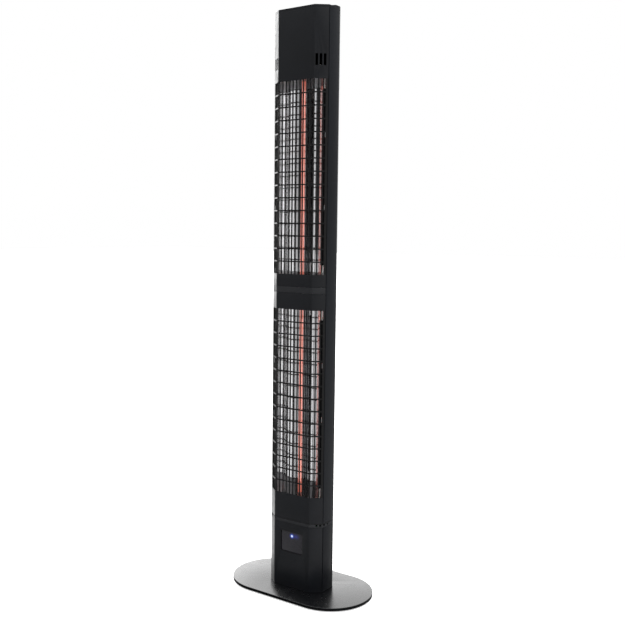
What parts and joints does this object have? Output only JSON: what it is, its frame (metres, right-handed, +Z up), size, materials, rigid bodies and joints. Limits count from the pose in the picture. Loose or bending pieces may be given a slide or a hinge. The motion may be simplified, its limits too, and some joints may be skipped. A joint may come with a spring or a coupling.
{
  "type": "patio tower heater",
  "caption": "Free-standing tower infrared heater for terraces: guarded lamps one above the other, touch control window, stadium-shaped base plate.",
  "frame": {"origin": "centre of the base plate on the floor", "axes": "+Z up the tower, -Y out of the front guards, +X to the right seen along +Y"},
  "size_m": [0.407, 0.226, 1.5046],
  "materials": {
    "satin_black_steel": "satin",
    "base_black_steel": "satin",
    "guard_black_steel": "satin",
    "black_aluminium": "satin",
    "band_black_plastic": "matte",
    "black_plastic": "matte",
    "rocker_plastic": "gloss",
    "black_rubber": "matte",
    "smoked_panel": "gloss",
    "light_lens": "translucent, lit blue-white",
    "receiver_lens": "gloss",
    "circuit_board": "satin",
    "relay_plastic": "satin",
    "terminal_plastic": "satin",
    "switch_plastic": "satin",
    "zinc_steel": "zinc plated",
    "black_screws": "satin",
    "polished_aluminium": "polished",
    "end_plate_aluminium": "semi-polished",
    "quartz_glass": "clear, lit",
    "glowing_filament": "glowing",
    "lamp_ceramic": "matte ceramic",
    "glass_fibre_sleeve": "braided"
  },
  "bodies": {
    "heater": {"base_plate": "base_black_steel", "base_feet": "black_rubber", "base_screws": "zinc_steel", "mounting_frame": "zinc_steel", "mounting_bolts": "black_screws", "module_shell": "satin_black_steel", "module_back_cover": "satin_black_steel", "module_cover_screws": "black_screws", "module_rim": "band_black_plastic", "seam_gasket": "black_rubber", "display_bezel": "black_plastic", "display_window": "smoked_panel", "display_board": "circuit_board", "status_light": "light_lens", "infrared_receiver": "receiver_lens", "power_board": "circuit_board", "board_standoffs": "zinc_steel", "power_relays": "relay_plastic", "terminal_block": "terminal_plastic", "switch_frame": "black_plastic", "cable_gland_body": "black_plastic", "cable_gland_cap": "black_plastic", "cable_gland_locknut": "black_plastic", "tip_switch_housing": "switch_plastic", "tip_switch_spring": "zinc_steel", "rear_housing": "black_aluminium", "top_cap": "satin_black_steel", "top_cap_screws": "black_screws", "top_panel": "satin_black_steel", "upper_middle_panel": "satin_black_steel", "joint_band": "band_black_plastic", "lower_middle_panel": "satin_black_steel", "bottom_panel": "satin_black_steel", "side_seals": "black_rubber", "panel_clips": "zinc_steel", "upper_guard": "guard_black_steel", "lower_guard": "guard_black_steel", "upper_reflector": "polished_aluminium", "lower_reflector": "polished_aluminium", "upper_end_plates": "end_plate_aluminium", "lower_end_plates": "end_plate_aluminium", "upper_lamp_tube": "quartz_glass", "lower_lamp_tube": "quartz_glass", "upper_filament": "glowing_filament", "lower_filament": "glowing_filament", "upper_lamp_caps": "lamp_ceramic", "lower_lamp_caps": "lamp_ceramic", "upper_lamp_brackets": "zinc_steel", "lower_lamp_brackets": "zinc_steel", "upper_lamp_leads": "glass_fibre_sleeve", "lower_lamp_leads": "glass_fibre_sleeve", "upper_heat_shield": "zinc_steel", "lower_heat_shield": "zinc_steel", "thermal_cutouts": "zinc_steel"},
    "rocker": {"rocker_button": "rocker_plastic"},
    "tip_plunger": {"tip_switch_plunger": "switch_plastic"}
  },
  "joints": [
    {"name": "rocker_tilt", "type": "hinge", "parent": "heater", "child": "rocker", "pos_m": [0, 0.033, 0.108], "axis": [1, 0, 0], "range_deg": [-14, 0]},
    {"name": "plunger_slide", "type": "slide", "parent": "heater", "child": "tip_plunger", "axis": [0, 0, 1], "range_m": [-0.004, 0], "stiffness_N_per_m": 100, "springref_m": -0.008, "deforming": ["tip_switch_spring"]}
  ]
}
